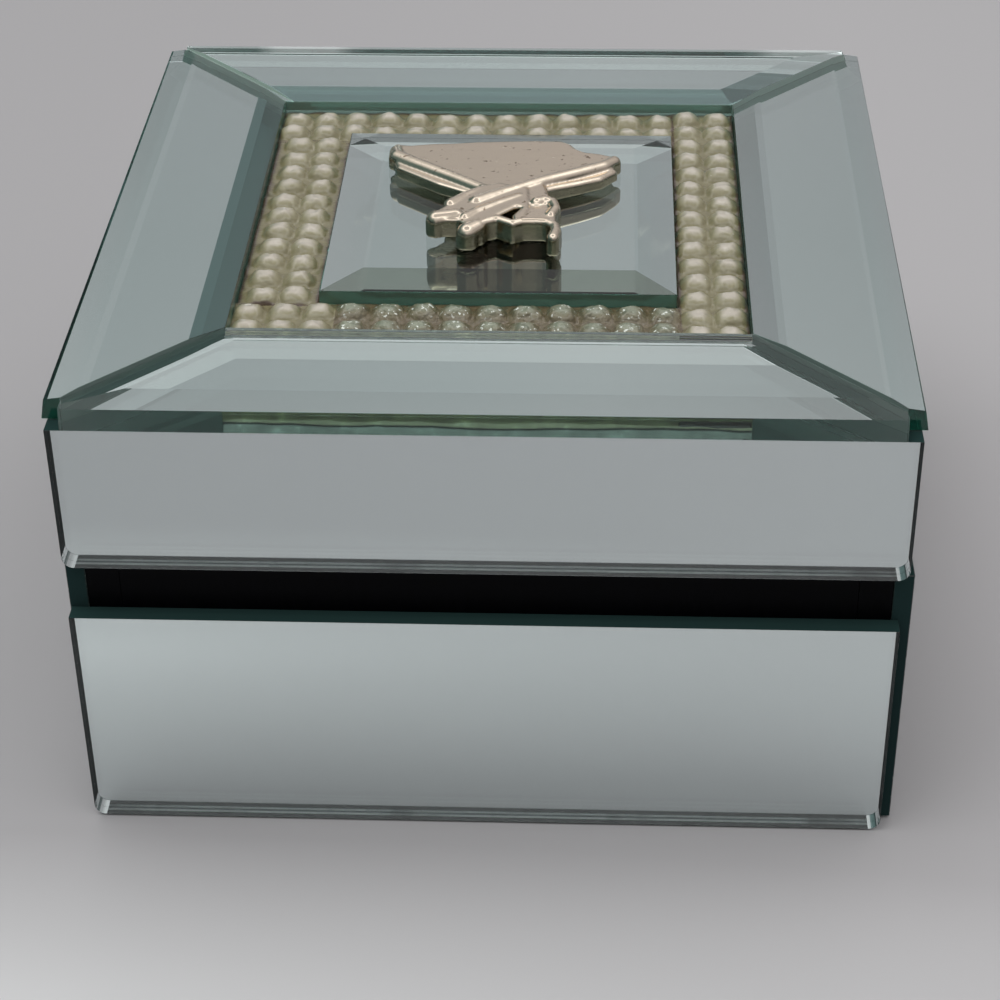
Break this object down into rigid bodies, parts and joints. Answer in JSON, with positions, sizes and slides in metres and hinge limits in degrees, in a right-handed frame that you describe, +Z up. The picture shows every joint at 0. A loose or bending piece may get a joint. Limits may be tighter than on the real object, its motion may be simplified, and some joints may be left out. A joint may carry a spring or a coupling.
{
  "type": "glass casket box",
  "caption": "Square mirrored glass casket with a hinged lid, a bevelled glass frame, rows of pearl beads and a metal fan ornament on its centre tile.",
  "frame": {"origin": "middle of the underside of the felt under the base, which is the middle of the base box over its side glass", "axes": "+Z up, +Y towards the hinges at the back, +X to the right as seen from the front"},
  "size_m": [0.1287, 0.1317, 0.0814],
  "materials": {
    "mirror_glass": "polished mirror glass with ground, greenish edges",
    "clear_glass": "clear greenish float glass, bevelled, silvered underneath",
    "black_board": "fibreboard painted matt black",
    "black_velvet": "short black velvet",
    "black_felt": "thin black felt",
    "hinge_brass": "plated sheet metal",
    "pin_steel": "plain steel wire",
    "pearl": "cream pearl coating",
    "bead_bed": "set adhesive, olive brown",
    "ornament_metal": "cast, polished, pale rose gold"
  },
  "bodies": {
    "base": {"base_floor_board": "black_board", "base_front_board": "black_board", "base_back_board": "black_board", "base_left_board": "black_board", "base_right_board": "black_board", "base_front_glass": "mirror_glass", "base_back_glass": "mirror_glass", "base_left_glass": "mirror_glass", "base_right_glass": "mirror_glass", "base_felt": "black_felt", "floor_lining": "black_velvet", "base_front_lining": "black_velvet", "base_back_lining": "black_velvet", "base_left_lining": "black_velvet", "base_right_lining": "black_velvet", "left_hinge_base_leaf": "hinge_brass", "right_hinge_base_leaf": "hinge_brass", "left_hinge_pin": "pin_steel", "right_hinge_pin": "pin_steel", "base_hinge_screws": "hinge_brass"},
    "lid": {"lid_top_board": "black_board", "lid_front_board": "black_board", "lid_back_board": "black_board", "lid_left_board": "black_board", "lid_right_board": "black_board", "lid_front_glass": "mirror_glass", "lid_back_glass": "mirror_glass", "lid_left_glass": "mirror_glass", "lid_right_glass": "mirror_glass", "lid_top_lining": "black_velvet", "lid_front_lining": "black_velvet", "lid_back_lining": "black_velvet", "lid_left_lining": "black_velvet", "lid_right_lining": "black_velvet", "left_hinge_lid_leaf": "hinge_brass", "right_hinge_lid_leaf": "hinge_brass", "lid_hinge_screws": "hinge_brass", "front_frame_glass": "clear_glass", "back_frame_glass": "clear_glass", "left_frame_glass": "clear_glass", "right_frame_glass": "clear_glass", "front_bead_bed": "bead_bed", "back_bead_bed": "bead_bed", "left_bead_bed": "bead_bed", "right_bead_bed": "bead_bed", "front_beads": "pearl", "back_beads": "pearl", "left_beads": "pearl", "right_beads": "pearl", "centre_tile": "clear_glass", "ornament": "ornament_metal"}
  },
  "joints": [
    {"name": "lid_hinge", "type": "hinge", "parent": "base", "child": "lid", "pos_m": [0, 0.066, 0.0484], "axis": [-1, 0, 0], "range_deg": [0, 100]}
  ]
}
